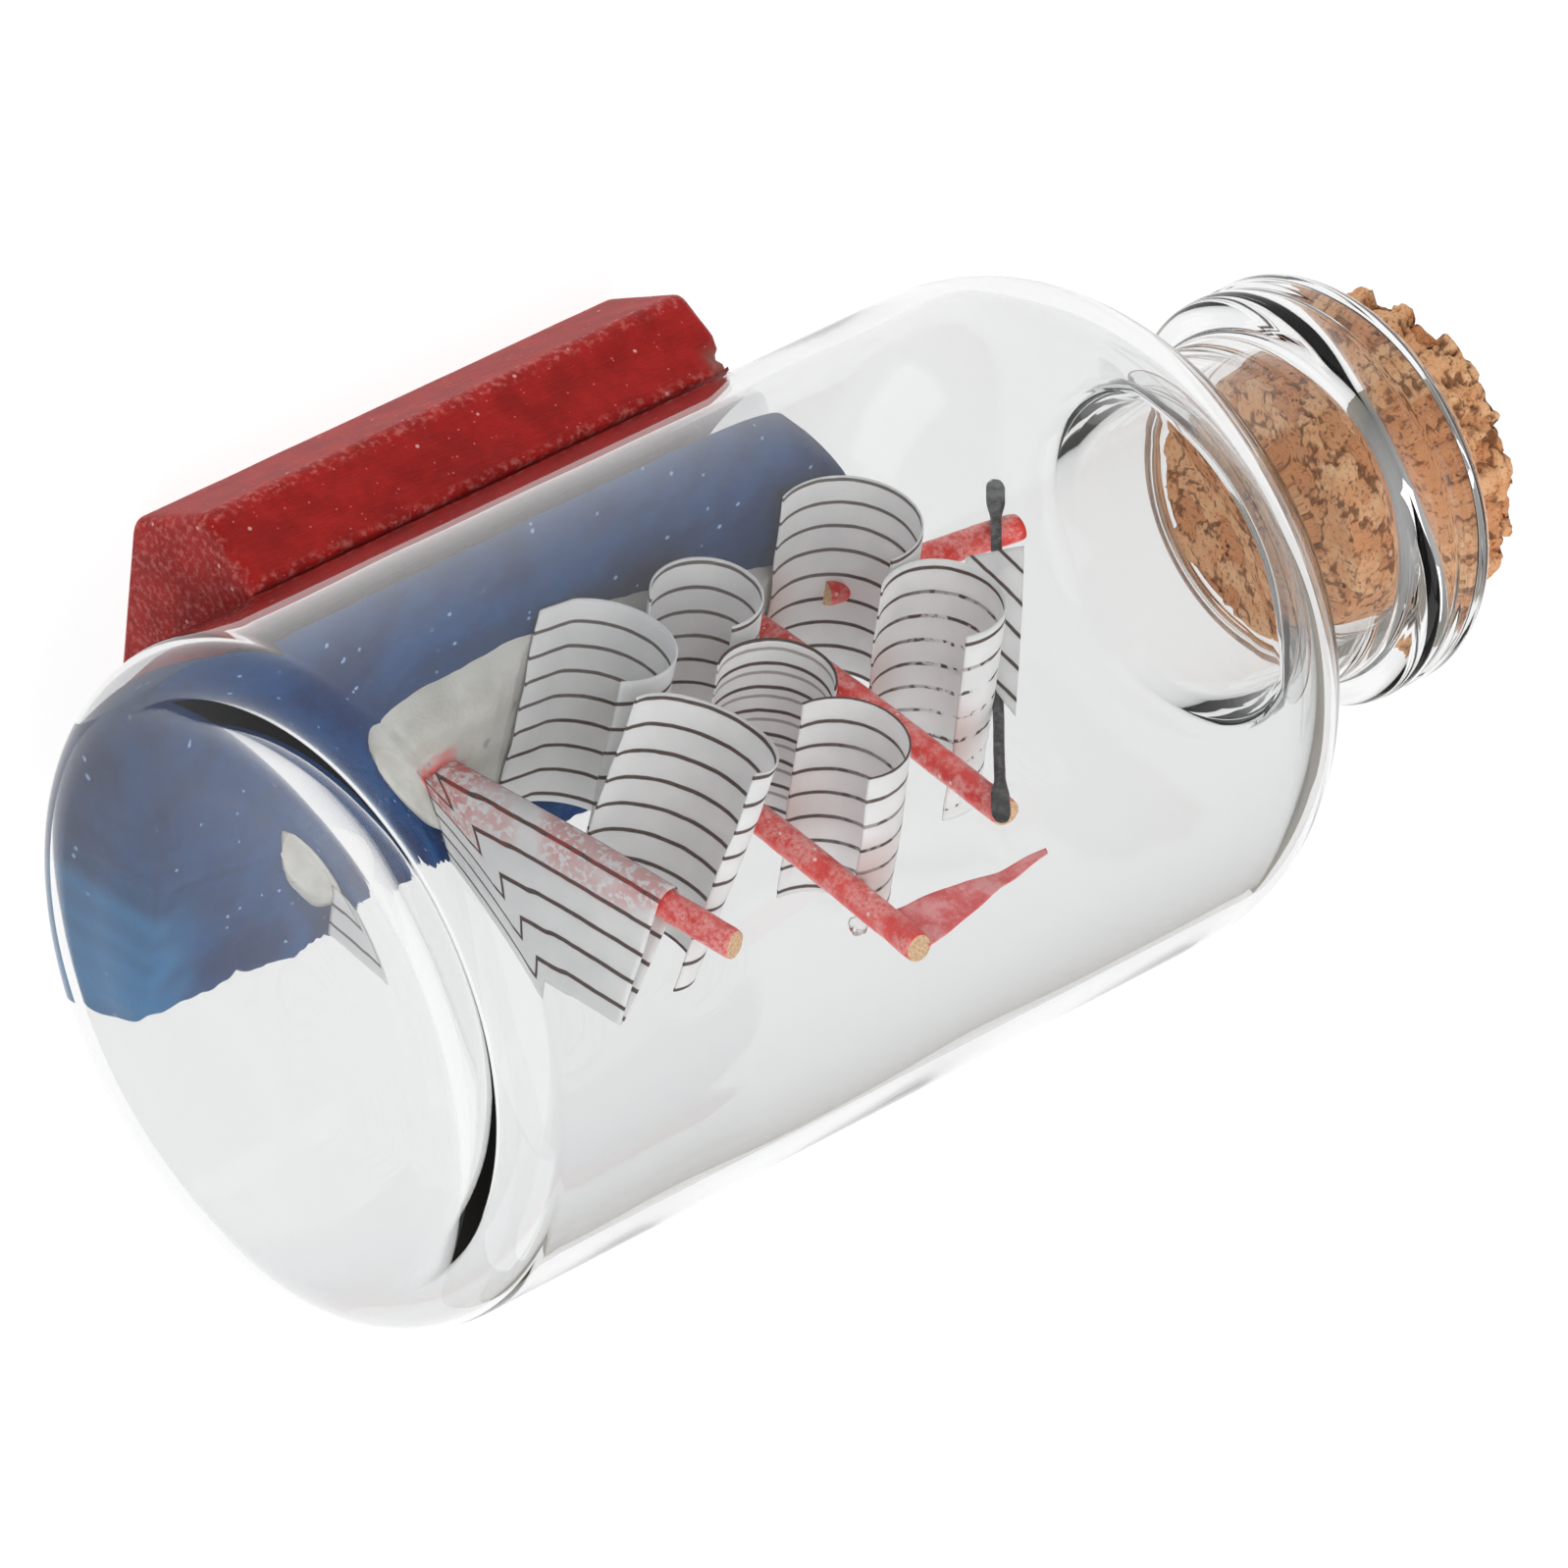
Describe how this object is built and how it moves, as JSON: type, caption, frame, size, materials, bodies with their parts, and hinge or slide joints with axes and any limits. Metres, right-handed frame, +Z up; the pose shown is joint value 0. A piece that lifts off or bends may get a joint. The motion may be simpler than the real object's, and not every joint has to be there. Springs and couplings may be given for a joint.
{
  "type": "ship in a bottle",
  "caption": "Corked glass bottle lying on a hollowed wooden cradle, with a small paper-sailed sailing ship on a putty sea inside it.",
  "frame": {"origin": "under the middle of the whole length, on the surface that the cradle stands on", "axes": "+X along the bottle's axis from its base to its cork, which is also the way the ship sails; +Z up along the masts; +Y to port"},
  "size_m": [0.102, 0.047, 0.054],
  "materials": {
    "bottle_glass": "clear, polished by the mould, slight waves",
    "cork": "agglomerated cork granules, dry",
    "red_painted_wood": "thin dull red paint with fine grain",
    "clear_glue": "dried clear glue",
    "blue_putty": "soft modelling putty, smeared",
    "white_putty": "soft modelling putty, smooth and slightly glossy",
    "red_stick": "glossy red paint over round sticks, bare cut ends",
    "striped_paper": "white paper ruled with dark brown lines",
    "black_stay": "dull black, worn",
    "red_paper": "stiff paper painted red"
  },
  "bodies": {
    "bottle": {"glass_bottle": "bottle_glass", "wood_stand": "red_painted_wood", "stand_glue": "clear_glue", "sea_putty": "blue_putty", "ship_hull": "white_putty", "foremast": "red_stick", "mainmast": "red_stick", "mizzenmast": "red_stick", "bowsprit": "red_stick", "mizzen_course": "striped_paper", "mizzen_topsail": "striped_paper", "main_course": "striped_paper", "main_topsail": "striped_paper", "main_topgallant": "striped_paper", "fore_course": "striped_paper", "fore_topsail": "striped_paper", "spanker": "striped_paper", "jib": "striped_paper", "forestay": "black_stay", "pennant": "red_paper", "glue_bead": "clear_glue"},
    "cork": {"cork_stopper": "cork"}
  },
  "joints": [
    {"name": "cork_slide", "type": "slide", "parent": "bottle", "child": "cork", "axis": [1, 0, 0], "range_m": [0, 0.022]}
  ]
}
